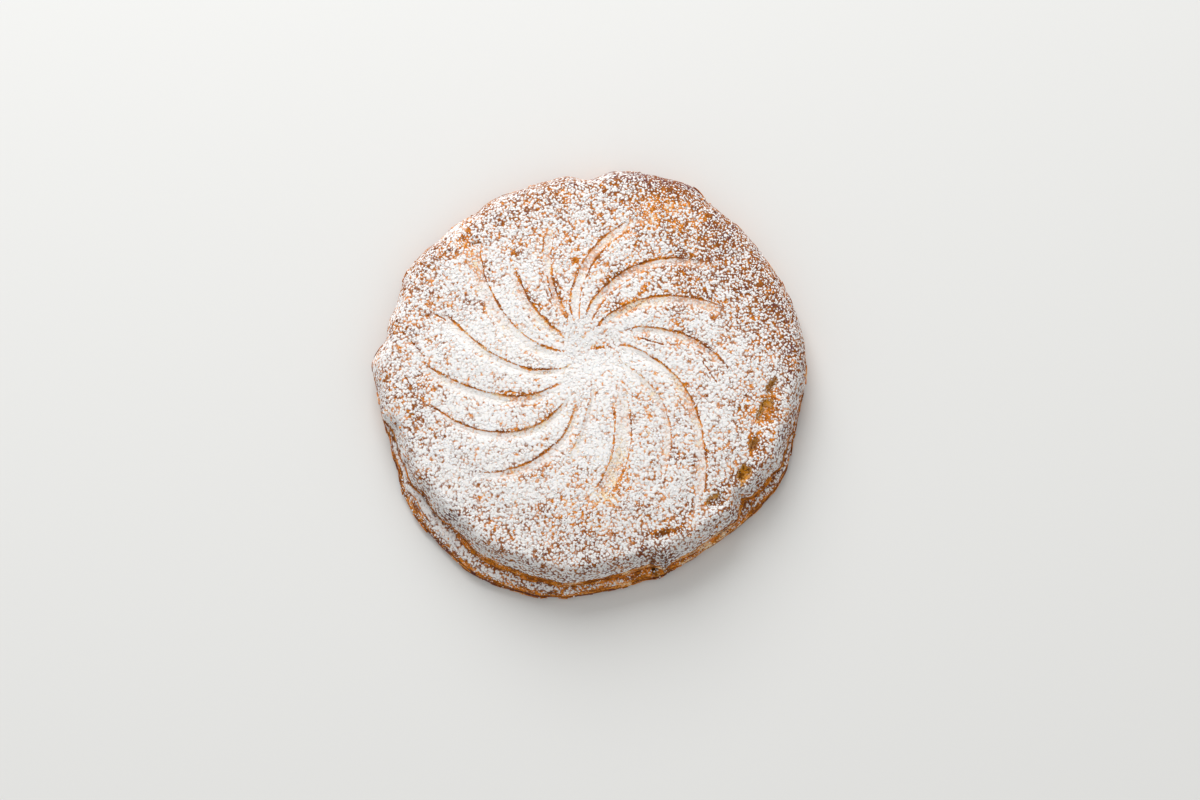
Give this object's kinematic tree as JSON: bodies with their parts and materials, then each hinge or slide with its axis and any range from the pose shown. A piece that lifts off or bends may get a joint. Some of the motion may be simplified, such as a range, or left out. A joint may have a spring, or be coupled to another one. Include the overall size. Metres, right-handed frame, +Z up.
{
  "type": "galette des rois",
  "caption": "Whole round puff-pastry cake with a domed lid scored in a swirl, browned and dusted with icing sugar.",
  "frame": {"origin": "middle of the outline's bounding box, on the flat base that the cake rests on", "axes": "+Z up through the lid; +Y points to the top of the reference picture and +X to its right"},
  "size_m": [0.2442, 0.2416, 0.0361],
  "materials": {
    "crust": "baked flaky puff pastry, satin",
    "icing_sugar": "loose icing sugar, matt, lying on the crust"
  },
  "bodies": {
    "root": {"galette": "crust"}
  },
  "joints": []
}
